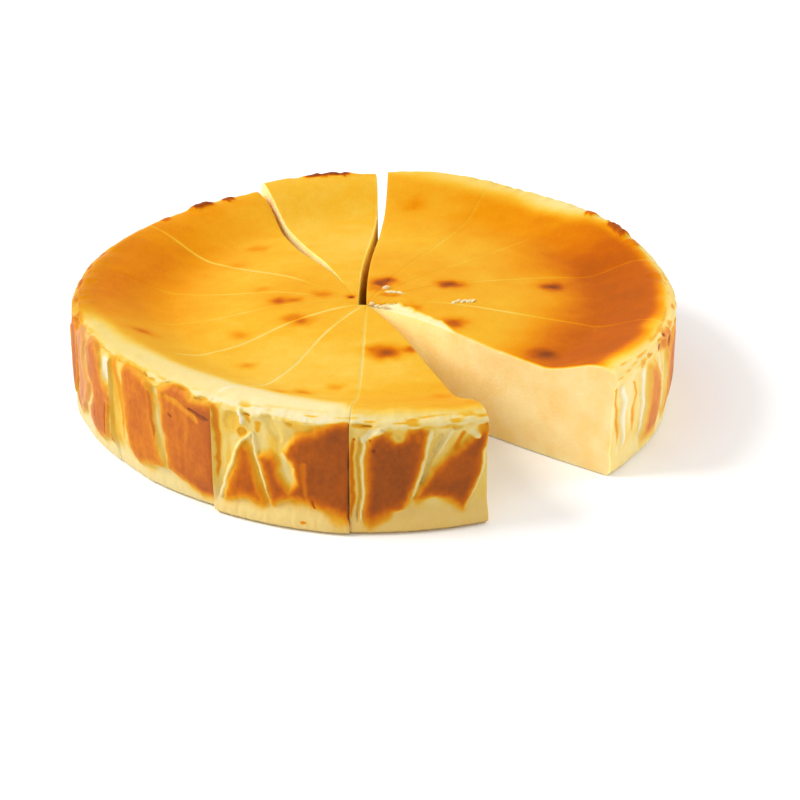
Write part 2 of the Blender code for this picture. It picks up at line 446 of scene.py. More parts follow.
def rule_panels(name, first, last):
    """Panels of a side that the photograph does not show, from the slice's own draw."""
    draw = random.Random(PANEL_SEED + int(name[-2:]))
    count = max(2, round((last - first) / BASE_WIDTH))
    width = (last - first) / count
    panels = []
    for number in range(count):
        left = first + number * width + draw.uniform(0.2, 1.6)
        right = first + (number + 1) * width - draw.uniform(0.2, 1.6)
        lean = draw.uniform(-2.0, 2.0)
        top = draw.uniform(33.0, 40.0)
        panels.append((
            (left, draw.uniform(6.0, 13.0)),
            (right, draw.uniform(6.0, 13.0)),
            (min(right + lean, last - 0.2), top - draw.uniform(0.0, 7.0)),
            ((left + right) / 2 + lean, top + 2.0),
            (max(left + lean, first + 0.2), top - draw.uniform(0.0, 7.0)),
        ))
    return panels


def depth_inside(panels, degrees, height_mm, narrow=1.0):
    """Millimetres inside the nearest panel, negative outside; narrow makes side edges crisp."""
    x = degrees * MM_PER_DEGREE * narrow
    deepest = np.full(np.shape(x), -99.0)
    for outline in panels:
        corners = [(angle * MM_PER_DEGREE * narrow, float(height)) for angle, height in outline]
        nearest = np.full(np.shape(x), 99.0)
        inside = np.zeros(np.shape(x), dtype=bool)
        for (ax, az), (bx, bz) in zip(corners, corners[1:] + corners[:1]):
            along = ((x - ax) * (bx - ax) + (height_mm - az) * (bz - az))
            along = np.clip(along / ((bx - ax) ** 2 + (bz - az) ** 2), 0.0, 1.0)
            away = np.hypot(x - ax - along * (bx - ax), height_mm - az - along * (bz - az))
            nearest = np.minimum(nearest, away)
            if az != bz:
                crossed = ((az > height_mm) != (bz > height_mm)) & (
                    x < ax + (height_mm - az) * (bx - ax) / (bz - az))
                inside ^= crossed
        deepest = np.maximum(deepest, np.where(inside, nearest, -nearest))
    return deepest


# %% Creases, ridges and hollows
# A stroke is a path of (degrees, mm), its half width at both ends in mm, its depth in mm and its
# browning. A negative depth is a ridge. Every stroke runs out in a point.
STROKES = {
    "slice_10": (
        (((205.5, 48), (204.5, 42), (203.6, 36), (205.0, 29), (207.0, 25), (205.0, 18), (200.0, 6)),
         0.9, 0.8, 0.4, 0.14),
        (((199.4, 44), (199.4, 34), (198.6, 24), (196.0, 12)), 0.5, 0.6, 0.5, 0.60),
        (((214.6, 26), (214.0, 17), (213.2, 10)), 0.6, 0.7, 0.7, 0.18),
        (((213.2, 27), (212.6, 18), (211.4, 9)), 0.5, 0.5, 0.3, 0.74),
        (((208.8, 50), (211.5, 50.5), (214.0, 50)), 0.5, 0.5, 0.5, 0.40),
        (((202.8, 49), (205.6, 50)), 0.6, 0.5, 0.5, 0.44),
    ),
    "slice_11": (
        (((216.4, 51), (216.6, 40), (217.6, 32), (218.4, 24), (218.0, 12)), 2.0, 0.9, 0.2, 0.51),
        (((219.4, 46), (219.0, 34), (219.4, 22), (220.6, 12), (221.4, 6)), 0.7, 0.9, 0.6, 0.16),
        (((228.4, 45), (229.2, 38), (229.8, 32), (230.0, 25), (230.3, 17)), 1.1, 0.7, 1.5, 0.14),
        (((227.2, 43), (227.6, 33), (228.4, 22)), 0.9, 0.8, 0.2, 0.67),
        (((230.8, 44.0), (234.2, 42.2), (236.8, 39.6), (239.0, 36.6)), 1.6, 1.2, 0.4, 0.53),
        (((236.5, 42), (239.0, 40), (241.3, 39)), 0.7, 1.0, 0.8, 0.82),
        (((235.4, 39), (236.0, 34), (235.6, 26)), 1.2, 1.2, 0.1, 0.61),
        (((232.0, 37), (233.0, 35)), 0.4, 0.5, 0.6, 0.84),
        (((222.0, 34), (224.0, 30), (226.0, 26)), 0.9, 0.8, 0.2, 0.64),
    ),
    "slice_12": (
        (((241.9, 48), (242.3, 34), (242.0, 14)), 1.5, 1.0, 0.3, 0.56),
        (((243.7, 34), (243.2, 24), (242.9, 14)), 1.1, 0.9, 0.8, 0.24),
        (((241.5, 45), (241.5, 9)), 0.35, 0.35, 0.3, 0.30),
        (((249.2, 38), (247.0, 32.8), (244.8, 22.5), (243.4, 12), (242.9, 7)), 0.8, 1.0, -1.3, 0.15),
        (((249.3, 38), (249.8, 32), (250.3, 24), (251.2, 18), (252.4, 9)), 1.0, 0.6, -1.0, 0.14),
        (((246.6, 49), (247.4, 44.5), (246.9, 40)), 0.8, 1.1, -1.3, 0.02),
        (((248.4, 47), (248.6, 41)), 1.5, 1.1, 0.7, 0.43),
        (((250.4, 43), (250.2, 37)), 1.5, 1.0, 0.4, 0.45),
        (((251.8, 47), (252.8, 42), (254.2, 35)), 2.4, 1.6, 1.5, 0.24),
        (((254.6, 31.5), (255.3, 25), (256.3, 18.5)), 1.2, 1.0, 0.6, 0.18),
        (((258.2, 29), (258.5, 22), (258.7, 12)), 1.3, 1.0, 0.2, 0.64),
        (((260.0, 13), (260.2, 9.8)), 0.6, 0.5, 0.4, 0.74),
        (((266.36, 47), (266.36, 1)), 0.4, 0.5, 0.9, 0.95),
    ),
    "slice_13": (
        (((266.7, 39), (266.8, 22), (266.8, 5)), 0.8, 1.0, 0.2, 0.60),
        (((268.1, 40), (267.9, 22), (267.9, 4)), 0.7, 0.6, 1.7, 0.36),
        (((268.9, 38), (268.6, 22), (268.6, 3)), 0.7, 0.5, -0.7, 0.13),
        (((278.0, 41.5), (278.3, 37)), 1.6, 1.2, 0.2, 0.66),
        (((280.7, 43), (279.4, 31), (278.0, 20), (277.0, 12)), 1.2, 0.6, -1.0, 0.12),
        (((282.4, 41), (281.1, 32), (279.9, 26), (278.4, 18)), 1.2, 0.5, 2.0, 0.22),
        (((284.2, 42), (282.7, 36), (281.4, 29)), 1.0, 0.6, -0.9, 0.14),
        (((286.2, 40), (285.2, 36), (284.4, 32)), 0.9, 0.8, 0.3, 0.56),
        (((290.7, 34), (289.8, 26), (288.5, 18), (286.6, 9)), 0.6, 0.6, -0.6, 0.12),
        (((268.2, 37), (270.0, 41), (273.0, 44)), 1.5, 1.7, -0.4, 0.10),
        (((286.8, 40.5), (288.0, 38.6), (288.8, 36.6)), 1.6, 1.3, -0.2, 0.14),
    ),
    "slice_01": (
        (((319.0, 38), (319.8, 37), (319.9, 31), (320.6, 26), (320.6, 10)), 0.9, 1.2, 0.6, 0.50),
        (((321.2, 38), (322.6, 30), (322.2, 25), (322.0, 8)), 1.6, 1.5, -0.9, 0.03),
        (((325.6, 37), (327.0, 30), (325.9, 24), (326.4, 12)), 0.7, 1.3, 0.7, 0.50),
        (((328.7, 39), (329.2, 31), (329.6, 24), (328.8, 8)), 1.7, 1.3, -0.9, 0.03),
        (((339.8, 31), (339.4, 22), (338.2, 10)), 0.5, 0.6, 0.5, 0.50),
        (((337.0, 36), (338.8, 28), (338.6, 20), (337.4, 8)), 1.0, 0.8, -0.6, 0.10),
    ),
}
# Round hollows: (degrees, mm), half width and half height in mm, depth in mm, browning.
# A negative depth stands out.
HOLLOWS = {
    "slice_12": (
        ((245.0, 40.5), 4.4, 6.6, 2.0, 0.34),
        ((247.0, 36.6), 2.4, 3.0, 2.2, 0.44),
        ((258.4, 4.0), 1.5, 1.0, -0.5, 0.56),
        ((247.4, 50.2), 3.2, 1.2, 0.4, 0.38),
        ((257.4, 42.4), 4.4, 2.6, 0.2, 0.34),
    ),
    "slice_13": (
        ((274.6, 40.6), 2.8, 3.4, 0.4, 0.30),
        ((268.6, 45.4), 4.6, 1.7, 0.8, 0.42),
        ((272.3, 43.0), 1.0, 0.8, 0.9, 0.66),
        ((266.9, 38.6), 0.7, 0.8, 0.8, 0.74),
        ((270.0, 38.4), 0.8, 0.8, 0.8, 0.70),
        ((270.8, 34.2), 1.0, 0.8, 0.5, 0.82),
        ((289.4, 41.6), 2.6, 1.8, 0.4, 0.50),
        ((283.4, 43.2), 4.2, 1.1, 0.4, 0.36),
    ),
    "slice_11": (
        ((233.6, 49.5), 3.4, 2.4, 0.1, 0.60),
        ((227.6, 49.0), 2.0, 1.0, 0.7, 0.42),
        ((239.4, 48.2), 3.0, 1.2, 0.9, 0.42),
        ((229.0, 48.0), 1.8, 1.6, 0.4, 0.26),
    ),
    "slice_10": (
        ((213.0, 41), 4.2, 8.0, 0.7, 0.03),
        ((201.0, 50.0), 2.4, 1.2, 0.8, 0.42),
    ),
    "slice_01": (
        ((339.6, 41.0), 5.4, 5.2, 0.2, 0.55),
        ((330.9, 43.4), 2.6, 2.2, 1.3, 0.46),
        ((328.2, 41.2), 2.4, 1.5, 1.1, 0.46),
        ((339.4, 44.2), 1.2, 1.2, 1.2, 0.80),
        ((341.7, 38.2), 1.6, 2.3, 1.7, 0.80),
        ((337.6, 38.8), 1.9, 1.9, 1.7, 0.80),
    ),
}


def along_path(points, degrees, height_mm):
    """Millimetres from a path, and how far along the path the nearest place on it is."""
    nearest = np.full(np.shape(degrees), 99.0)
    progress = np.zeros(np.shape(degrees))
    for number, ((a_deg, a_mm), (b_deg, b_mm)) in enumerate(zip(points, points[1:])):
        wide, tall = (b_deg - a_deg) * MM_PER_DEGREE, b_mm - a_mm
        x, z = (degrees - a_deg) * MM_PER_DEGREE, height_mm - a_mm
        along = np.clip((x * wide + z * tall) / (wide ** 2 + tall ** 2), 0.0, 1.0)
        away = np.hypot(x - along * wide, z - along * tall)
        progress = np.where(away < nearest, (number + along) / (len(points) - 1), progress)
        nearest = np.minimum(nearest, away)
    return nearest, progress


def stroke_share(stroke, degrees, height_mm):
    """How strongly a stroke is felt at each place, from 1 on its line to 0 beside it."""
    points, half_start, half_end = stroke[:3]
    away, progress = along_path(points, degrees, height_mm)
    half = half_start + (half_end - half_start) * progress
    narrow_end = 1.0 - 0.6 * smooth_step(0.75, 1.0, progress)
    narrow_start = 0.5 + 0.5 * smooth_step(0.0, 0.10, progress)
    half = half * narrow_end * narrow_start
    ends = smooth_step(0.0, 0.04, progress) * (1.0 - smooth_step(0.90, 1.0, progress))
    return (1.0 - smooth_step(0.4, 1.4, away / half)) * ends


def hollow_share(hollow, degrees, height_mm):
    """How strongly a round hollow is felt at each place."""
    (centre_deg, centre_mm), half_width, half_height = hollow[:3]
    away = np.hypot((degrees - centre_deg) * MM_PER_DEGREE / half_width,
                    (height_mm - centre_mm) / half_height)
    return 1.0 - smooth_step(0.55, 1.15, away)


# %% [markdown]
# ## Relief of the side
# The relief says how far each place of the side is pressed in. No fold of the paper ran straight,
# so every outline and stroke is first bent a little by two clouds. Under the crest the peeled
# paper tore a ragged lip, with small pits below it. Above the foot the creases fade out, and fine
# upright wrinkles run over everything.

# %% Pressing in the side
# How deep a crease is, how wide its edge is, and over which heights it fades in and out
CREASE_DEPTH_MM = 1.9
CREASE_EDGE_MM = 2.4
CREASE_LOW_MM = (3.0, 11.0)
CREASE_FADE_MM = 5.0
PIT_DEPTH_MM = 1.1
WRINKLE_MM = 0.14
CREST_FOLD_MM = 0.16
# Depth that both sides of a shut cut share
SEAM_MM = 0.9
# How far outlines and strokes stray from their given places
STRAY_MM = 0.75
# How ragged the lip's lower edge is
LIP_RAGGED_MM = 0.7
# Height in mm of the ragged lip's lower edge, by degrees
LIP = ((0, 42), (170, 43), (193, 47), (199, 48), (205, 50), (209, 50.5), (212, 51), (215, 51),
       (219.5, 51), (224, 52), (227, 49.5), (229, 49), (232, 53), (235.6, 52), (238, 48), (241.2, 48),
       (243, 49), (249, 46.5), (252, 47), (256, 45), (259, 45), (262, 46), (266, 47.5), (268.5, 46.5),
       (272, 44.5), (276, 44), (279, 44.5), (283, 43), (287, 42), (290.7, 43), (319, 41), (326, 41.5),
       (331, 43.5), (337, 46), (343, 46), (360, 42))


def bent(degrees, height_mm):
    """The places with the paper's small strays added, in degrees and mm."""
    x = degrees * MM_PER_DEGREE
    side = STRAY_MM * (cloud(x, height_mm, 0.0, 7.5, 26) + 0.45 * cloud(x, height_mm, 0.0, 2.6, 27))
    rise = STRAY_MM * (cloud(x, height_mm, 0.0, 7.5, 28) + 0.45 * cloud(x, height_mm, 0.0, 2.6, 29))
    return degrees + side / MM_PER_DEGREE, height_mm + rise


def lip_height(degrees):
    """Height in mm of the ragged lip's lower edge."""
    x = degrees * MM_PER_DEGREE
    wide, narrow = cloud(x, 0.0, 0.0, 8.0, 31), cloud(x, 0.0, 0.0, 3.0, 32)
    return read_table(LIP, degrees) + LIP_RAGGED_MM * wide + LIP_RAGGED_MM * narrow


def pit_share(degrees, height_mm):
    """Where the pits under the lip are, from 0 to 1."""
    x = degrees * MM_PER_DEGREE
    below = lip_height(degrees) - height_mm
    reach = 2.2 + 1.2 * cloud(x, 0.0, 5.0, 6.0, 33)
    here = smooth_step(0.05, 0.6, cloud(x, height_mm * 0.5, 9.0, 4.2, 34))
    return smooth_step(-0.3, 0.6, below) * (1.0 - smooth_step(0.35, 1.0, below / reach)) * here


def side_relief(name, panels, degrees, height_mm, seam_mm):
    """How far the side is pressed in, in metres, at an angle and a height along the side."""
    x = degrees * MM_PER_DEGREE
    bent_degrees, bent_height = bent(degrees, height_mm)
    inside = depth_inside(panels, bent_degrees, bent_height)
    under_lip = lip_height(degrees) - height_mm
    fade = smooth_step(*CREASE_LOW_MM, height_mm) * smooth_step(-0.5, CREASE_FADE_MM, under_lip)
    pressed = CREASE_DEPTH_MM * smooth_step(0.0, CREASE_EDGE_MM, -inside) * fade
    pressed *= 0.8 + 0.4 * cloud(x, height_mm * 0.3, 2.0, 5.0, 22)
    for hollow in HOLLOWS.get(name, ()):
        share = hollow_share(hollow, bent_degrees, bent_height)
        pressed = np.maximum(pressed, hollow[3] * share) if hollow[3] > 0 else pressed + hollow[3] * share
    for stroke in STROKES.get(name, ()):
        share = stroke_share(stroke, bent_degrees, bent_height)
        depth = stroke[3]
        pressed = pressed + share * (depth if depth < 0 else np.maximum(depth - 0.6 * pressed, 0.0))
    pressed = pressed + PIT_DEPTH_MM * pit_share(degrees, height_mm)
    wrinkles = cloud(x, height_mm * 0.18, 3.0, 1.7, 23) + 0.6 * cloud(x, height_mm * 0.6, 4.0, 1.0, 24)
    swell = 0.35 * (1.0 + cloud(x, height_mm * 0.6, 6.0, 14.0, 25))
    pressed = pressed + WRINKLE_MM * (1.0 + wrinkles) + swell
    crest_folds = cloud(x * 0.3, height_mm * 1.1, 7.0, 1.5, 35) * smooth_step(-0.5, 1.0, -under_lip)
    pressed = pressed + CREST_FOLD_MM * (1.0 + crest_folds)
    pressed = pressed + (SEAM_MM - pressed) * (1.0 - smooth_step(0.0, 1.3, seam_mm))
    return np.maximum(pressed, 0.02) / 1000


# %% [markdown]
# ## The top of the cake
# The top's height follows one formula from the tip to the crest: a flat middle, a shallow valley
# and a rise to the rim. On it lie gentle waves, shallow dimples at the burnt spots, a torn strip
# beside the empty place where the skin came away with the missing portion, and a few raised
# lumps on the rim.

# %% Height and marks of the top
# Browning of the golden skin, on a scale from 0, cream, to 1, nearly black
GOLD = 0.40
# Burnt spots: place in plan as shares of the radius, size as a share of it, strength
SPOTS = (
    (0.255, 0.087, 0.026, 0.38), (0.595, 0.096, 0.024, 0.42), (0.542, -0.413, 0.026, 0.42),
    (0.258, -0.213, 0.026, 0.30), (0.042, -0.415, 0.030, 0.36), (0.005, -0.396, 0.018, 0.20),
    (0.118, -0.396, 0.016, 0.24), (-0.313, -0.045, 0.022, 0.28), (-0.264, -0.036, 0.016, 0.20),
    (-0.236, -0.190, 0.026, 0.24), (-0.262, -0.172, 0.018, 0.16), (-0.167, 0.009, 0.020, 0.16),
    (0.027, 0.113, 0.024, 0.34), (0.140, 0.755, 0.026, 0.12), (-0.727, -0.305, 0.024, 0.20),
    (0.215, -0.700, 0.020, 0.08), (0.127, -0.096, 0.020, 0.12), (-0.209, -0.680, 0.018, 0.14),
    (-0.276, -0.700, 0.018, 0.08), (-0.390, -0.480, 0.018, 0.10), (-0.427, -0.258, 0.018, 0.10),
    (-0.470, 0.313, 0.022, 0.07), (-0.410, 0.460, 0.026, 0.09), (-0.373, 0.064, 0.018, 0.08),
    (-0.110, -0.630, 0.018, 0.06), (0.020, 0.100, 0.014, 0.40), (0.046, 0.124, 0.012, 0.38),
    (0.004, 0.055, 0.022, 0.15), (0.040, 0.006, 0.010, 0.20), (0.066, -0.006, 0.010, 0.16),
    (-0.071, -0.011, 0.009, 0.50), (0.130, -0.096, 0.014, 0.14),
)
# Browned lumps on the rim: angle and half width in degrees, height in mm, tone
RIM_LUMPS = ((100.2, 6.6, 0.9, 0.84), (131.0, 3.6, 1.3, 0.84), (124.6, 1.6, 0.9, 0.8),
             (27.5, 4.5, 1.7, 0.78), (36.5, 1.8, 0.8, 0.66), (21.0, 2.0, 0.7, 0.6),
             (141.0, 1.6, 0.4, 0.66))
# The band that carries them, as shares of the slice's length: its start, the width over which
# it rises, and where it fades
LUMPS_FROM = 0.914
LUMPS_RISE = 0.02
LUMPS_FADE = (0.962, 0.988)
# Middle and half width of a lump across that band
LUMP_AT = 0.948
LUMP_HALF = 0.042
# Where the rim's outline turns rough and smooth again, in degrees
ROUGH_RIM_FROM = (20.0, 30.0)
ROUGH_RIM_TO = (62.0, 72.0)
# Depths in mm: gentle waves, ripples, the rounded edge beside a cut, burnt spots and the torn strip
WAVE_MM = 0.22
RIPPLE_MM = 0.06
CUT_EDGE_MM = 0.14
SPOT_MM = 0.7
TORN_DEPTH_MM = 0.9
TORN_TONE = 0.10
# How far a burnt spot's outline wobbles, in metres
SPOT_WOBBLE = 0.0010
# The torn strip's width in mm by distance from the cake's centre as a share of the radius
TORN_WIDTHS = ((0.0, 1.5), (0.06, 3.6), (0.14, 3.6), (0.22, 3.0), (0.29, 3.1), (0.33, 1.6), (0.38, 0.2),
               (1.2, 0.2))


def middle_height(fraction, degrees, lift):
    """Height of the top in metres at a share of the slice's length, up to the crest."""
    side = np.cos(np.radians(degrees))
    valley = VALLEY_SINK - VALLEY_SINK_SIDE * side - MIDDLE_SINK
    sink = MIDDLE_SINK + valley * smooth_step(VALLEY_START, VALLEY_END, fraction)
    sink = sink * (1.0 - smooth_step(RISE_START + RISE_START_SIDE * side, CREST_AT, fraction))
    return CREST_HEIGHT - sink + lift * smooth_step(LIFT_START, CREST_AT, fraction)


def spot_field(x, y, tone):
    """The browning of a place with the burnt spots added, never past a spot's own tone."""
    wobble_x = SPOT_WOBBLE * cloud(x, y, 0.0, 0.0032, 41)
    wobble_y = SPOT_WOBBLE * cloud(x, y, 0.0, 0.0032, 42)
    for spot_x, spot_y, size, strength in SPOTS:
        across = (x + wobble_x - spot_x * RADIUS) / (1.5 * size * RADIUS)
        deep = (y + wobble_y - spot_y * RADIUS) / (1.25 * size * RADIUS)
        share = np.exp(-0.9 * (across ** 2 + deep ** 2))
        tone = tone + np.maximum(GOLD + 0.04 + strength - tone, 0.0) * share
    return tone


def torn_share(name, x, y, from_first):
    """Where the skin is torn away beside the empty place, from 0 to 1."""
    if name != "slice_01":
        return np.zeros(np.shape(x))
    out = np.hypot(x, y) / RADIUS
    width = read_table(TORN_WIDTHS, out)
    width = width * (1.0 + 0.45 * cloud(x, y, 0.0, 0.005, 43) + 0.3 * cloud(x, y, 0.0, 0.0018, 44))
    return 1.0 - smooth_step(-0.35, 0.35, from_first - width)


def top_relief(name, x, y, from_first, from_last):
    """How far the top is pressed down, in metres."""
    cut_mm = np.minimum(from_first, from_last)
    out = np.hypot(x, y) / RADIUS
    waves = WAVE_MM * (1.0 + cloud(x, y, 0.0, 0.022, 45)) + RIPPLE_MM * (1.0 + cloud(x, y, 0.0, 0.006, 46))
    edge = CUT_EDGE_MM * (1.0 - smooth_step(0.0, 0.9, cut_mm)) * (1.0 - smooth_step(0.84, 0.92, out))
    spots = SPOT_MM * (spot_field(x, y, np.full(np.shape(x), GOLD)) - GOLD)
    pressed = waves + edge + spots + TORN_DEPTH_MM * torn_share(name, x, y, from_first)
    return pressed / 1000


def rim_lump(degrees, fraction):
    """Height in metres and tone of the lumps along the crest."""
    turned = np.mod(degrees, 360.0)
    x = turned * MM_PER_DEGREE
    out_mm = fraction * RADIUS * 1000
    inner = LUMPS_FROM + 0.008 * cloud(x, 0.0, 0.0, 3.0, 48)
    band = smooth_step(inner, inner + LUMPS_RISE, fraction) * (1.0 - smooth_step(*LUMPS_FADE, fraction))
    ragged = 1.0 + 0.35 * cloud(x, out_mm, 0.0, 2.2, 47)
    stray = 0.12 * cloud(x, out_mm, 0.0, 1.8, 50)
    rough = smooth_step(*ROUGH_RIM_FROM, turned) * (1.0 - smooth_step(*ROUGH_RIM_TO, turned))
    long_wave_mm, short_wave_mm = 0.35 + 0.45 * rough, 0.2 + 0.35 * rough
    height = long_wave_mm * cloud(x, 0.0, 0.0, 8.0, 49) + short_wave_mm * cloud(x, 0.0, 0.0, 3.4, 36)
    tone = np.zeros(np.shape(degrees))
    for centre, half, lump_mm, lump_tone in RIM_LUMPS:
        away = np.hypot((turned - centre) / half, (fraction - LUMP_AT) / LUMP_HALF) + 1.4 * stray
        share = 1.0 - smooth_step(0.62, 1.0, away)
        height = height + share * lump_mm * ragged
        tone = np.maximum(tone, share * lump_tone)
    return height * band / 1000, tone * smooth_step(0.25, 0.7, band)


# %% [markdown]
# ## Laying a block into its place
# A slice's section has four curves: underside, wall, top and tip. The wall and the top meet in
# the middle of the rolled-over rim. Points on these sides take their curve, and points on a cut
# face are blended between all four curves, so that its grid follows the outline.

# %% Curves of the section
CREST_SHARE = 0.84
WALL_SHARE = 0.88
ROLL_ARC_MM = 9.9


def stray_at(cut, share):
    """Millimetres that a cut strays at a share of its length: a smooth curve through its values."""
    quarters = (0.0, 0.25, 0.5, 0.75, 1.0)
    return np.polyval(np.polyfit(quarters, CUT_STRAYS[cut], 4), share)


def wall_turn(up):
    """How far the rim has rolled over at a share up the wall, from 0 to 45 degrees."""
    return 45.0 * np.clip((up - WALL_SHARE) / (1 - WALL_SHARE), 0, 1)


def top_turn(along):
    """How far the rim has rolled over at a share along the top, from 90 down to 45 degrees."""
    return 90.0 - 45.0 * np.clip((along - CREST_SHARE) / (1 - CREST_SHARE), 0, 1)


class Slice:
    """One slice's named values and curves, for arrays of places across it."""

    def __init__(self, name):
        self.name = name
        self.first, self.last, self.lifts, self.feet = SLICES[name]
        self.panels = PANELS.get(name) or rule_panels(name, self.first, self.last)
        self.open_sides = OPEN_CUTS.get(name, ())
        self.first_gap = (OPEN_GAP if "first" in self.open_sides else SHUT_GAP) / 2
        self.last_gap = (OPEN_GAP if "last" in self.open_sides else SHUT_GAP) / 2
        middle = math.radians((self.first + self.last) / 2)
        reach = SHUT_GAP / 2 / math.sin(math.radians((self.last - self.first) / 2))
        self.tip = (CUTS_MEET[0] + reach * math.cos(middle), CUTS_MEET[1] + reach * math.sin(middle))

    def place_across(self, across):
        """Sets the places across the slice, from 0 at the first cut to 1 at the last."""
        first = self.first + math.degrees(self.first_gap / RADIUS)
        last = self.last - math.degrees(self.last_gap / RADIUS)
        self.degrees = first + (last - first) * across
        self.rim_x = RADIUS * np.cos(np.radians(self.degrees))
        self.rim_y = RADIUS * np.sin(np.radians(self.degrees))
        self.length = np.hypot(self.rim_x - self.tip[0], self.rim_y - self.tip[1])
        start, middle, end = self.lifts
        curve = 2.0 * (start + end - 2.0 * middle)
        self.lift = (start + (end - start - curve) * across + curve * across * across) / 1000
        self.roll_start = CREST_HEIGHT + self.lift - ROLL_DROP
        self.foot = (self.feet[0] + (self.feet[1] - self.feet[0]) * across) / 1000
        side_first = TIP_SHIFT_SIDE.get(self.first, OTHER_SHIFT_SIDE)
        side_last = TIP_SHIFT_SIDE.get(self.last, OTHER_SHIFT_SIDE)
        self.side_shift = (side_first + (side_last - side_first) * across) / 1000
        self.seam_mm = np.full(np.shape(across), 99.0)
        if "first" not in self.open_sides:
            self.seam_mm = np.minimum(self.seam_mm, (self.degrees - self.first) * MM_PER_DEGREE)
        if "last" not in self.open_sides:
            self.seam_mm = np.minimum(self.seam_mm, (self.last - self.degrees) * MM_PER_DEGREE)
        self.across = across
        self.panel_degrees = np.mod(self.degrees, 360.0) if self.name in PANELS else self.degrees

    def in_plan(self, fraction):
        """Place in plan at a share of the way from the tip to the rim."""
        share = np.clip(fraction, 0.0, 1.0)
        at_first, at_last = stray_at(self.first, share), stray_at(self.last, share)
        stray = (at_first + (at_last - at_first) * self.across) / 1000
        turn = np.radians(self.degrees)
        pull = (1.0 - share) ** TIP_SHIFT_FALL
        x = self.tip[0] + (self.rim_x - self.tip[0]) * fraction - stray * np.sin(turn)
        y = self.tip[1] + (self.rim_y - self.tip[1]) * fraction + stray * np.cos(turn)
        return x + self.side_shift * pull, y + TIP_SHIFT_FRONT / 1000 * pull

    def cut_mm(self, fraction):
        """Millimetres from the first cut and from the last cut."""
        wide = self.length * fraction * math.radians(self.last - self.first) * 1000
        return wide * self.across, wide * (1.0 - self.across)

    def top_push(self, fraction):
        """How far the top is pressed down at a share of the length."""
        x, y = self.in_plan(fraction)
        return top_relief(self.name, x, y, *self.cut_mm(fraction))

    def side_push(self, side_mm):
        """How far the side is pressed in at a height along it."""
        return side_relief(self.name, self.panels, self.panel_degrees, side_mm, self.seam_mm)

    def roll_mm(self, turn):
        """Millimetres along the side at a turn of the rolled-over rim."""
        return self.roll_start * 1000 + ROLL_ARC_MM * turn / 90.0

    def roll(self, turn):
        """The rolled-over rim at a turn from 0, at the wall, to 90 degrees, at the crest."""
        sine, cosine = np.sin(np.radians(turn)), np.cos(np.radians(turn))
        push = self.side_push(self.roll_mm(turn)) * (1.0 - smooth_step(50.0, 89.0, turn))
        rise, _ = rim_lump(self.degrees, CREST_AT + (1.0 - CREST_AT) * cosine)
        fraction = CREST_AT + (1.0 - CREST_AT) * cosine - push * cosine / self.length
        height = self.roll_start + ROLL_DROP * sine - push * sine
        height = height - self.top_push(fraction) * sine + rise
        return fraction, height

    def wall_curve(self, up):
        """The wall and the outer half of the roll, from 0 at the bottom to 1."""
        height = self.roll_start * np.minimum(up / WALL_SHARE, 1.0)
        foot = self.foot * (1.0 - smooth_step(0.0, FOOT_HEIGHT, height))
        bevel = FOOT_BEVEL * (1.0 - smooth_step(0.0, FOOT_BEVEL, height))
        fraction = 1.0 + (foot - bevel - self.side_push(height * 1000)) / self.length
        roll_fraction, roll_height = self.roll(wall_turn(up))
        on_roll = up > WALL_SHARE
        return np.where(on_roll, roll_fraction, fraction), np.where(on_roll, roll_height, height)

    def top_curve(self, along):
        """The top and the inner half of the roll, from 0 at the tip to 1."""
        tip = TIP_SHOWN / self.length
        fraction = tip + (CREST_AT - tip) * np.minimum(along / CREST_SHARE, 1.0)
        rise, _ = rim_lump(self.degrees, fraction)
        height = middle_height(fraction, self.degrees, self.lift) - self.top_push(fraction) + rise
        roll_fraction, roll_height = self.roll(top_turn(along))
        on_roll = along > CREST_SHARE
        return np.where(on_roll, roll_fraction, fraction), np.where(on_roll, roll_height, height)

    def section(self, along, up):
        """Blends the four curves of the section at shares along and up the slice."""
        tip = TIP_SHOWN / self.length
        zero, one = np.zeros_like(along), np.ones_like(along)
        wall_f, wall_z = self.wall_curve(up)
        top_f, top_z = self.top_curve(along)
        toe_f, toe_z = self.wall_curve(zero)
        rim_f, rim_z = self.top_curve(one)
        _, tip_top = self.top_curve(zero)
        bottom_f = tip + (toe_f - tip) * along
        tip_z = tip_top * up
        fraction = (1 - up) * bottom_f + up * top_f + (1 - along) * tip + along * wall_f
        fraction -= (1 - along) * tip + along * ((1 - up) * toe_f + up * rim_f)
        height = up * top_z + (1 - along) * tip_z + along * wall_z
        height -= (1 - along) * up * tip_top + along * ((1 - up) * toe_z + up * rim_z)
        return fraction, height


# %% [markdown]
# ## Browning
# One number says how brown each place is: 0 is cream, 0.4 golden, 0.6 amber, 0.8 brown and 1
# nearly black. It is worked out for every corner point from the same panels, strokes and spots
# as the relief, and the material turns it into colour.
# On the panels, at the front foot, in the pits and on the cut faces of the narrow gaps it also carries
# painted light and painted shade.

# %% Browning of the top
# Browning of the flat middle, by degrees
MIDDLE_TONE = ((-41, 0.4), (45, 0.42), (85, 0.42), (92, 0.36), (114, 0.355), (120, 0.385), (180, 0.385),
               (230, 0.36), (270, 0.35), (291, 0.36), (319, 0.4))
# Amber on the inner slope of the rim: (degrees, how much it adds)
AMBER = ((-41, 0.27), (-25, 0.32), (0, 0.32), (20, 0.29), (35, 0.2), (50, 0.13), (62, 0.1), (75, 0.03),
         (90, 0.02), (112, 0.02), (120, 0.06), (135, 0.13), (148, 0.18), (165, 0.2), (182, 0.2),
         (195, 0.14), (208, 0.05), (240, 0.01), (262, 0.02), (268, 0.07), (290, 0.11), (319, 0.27))
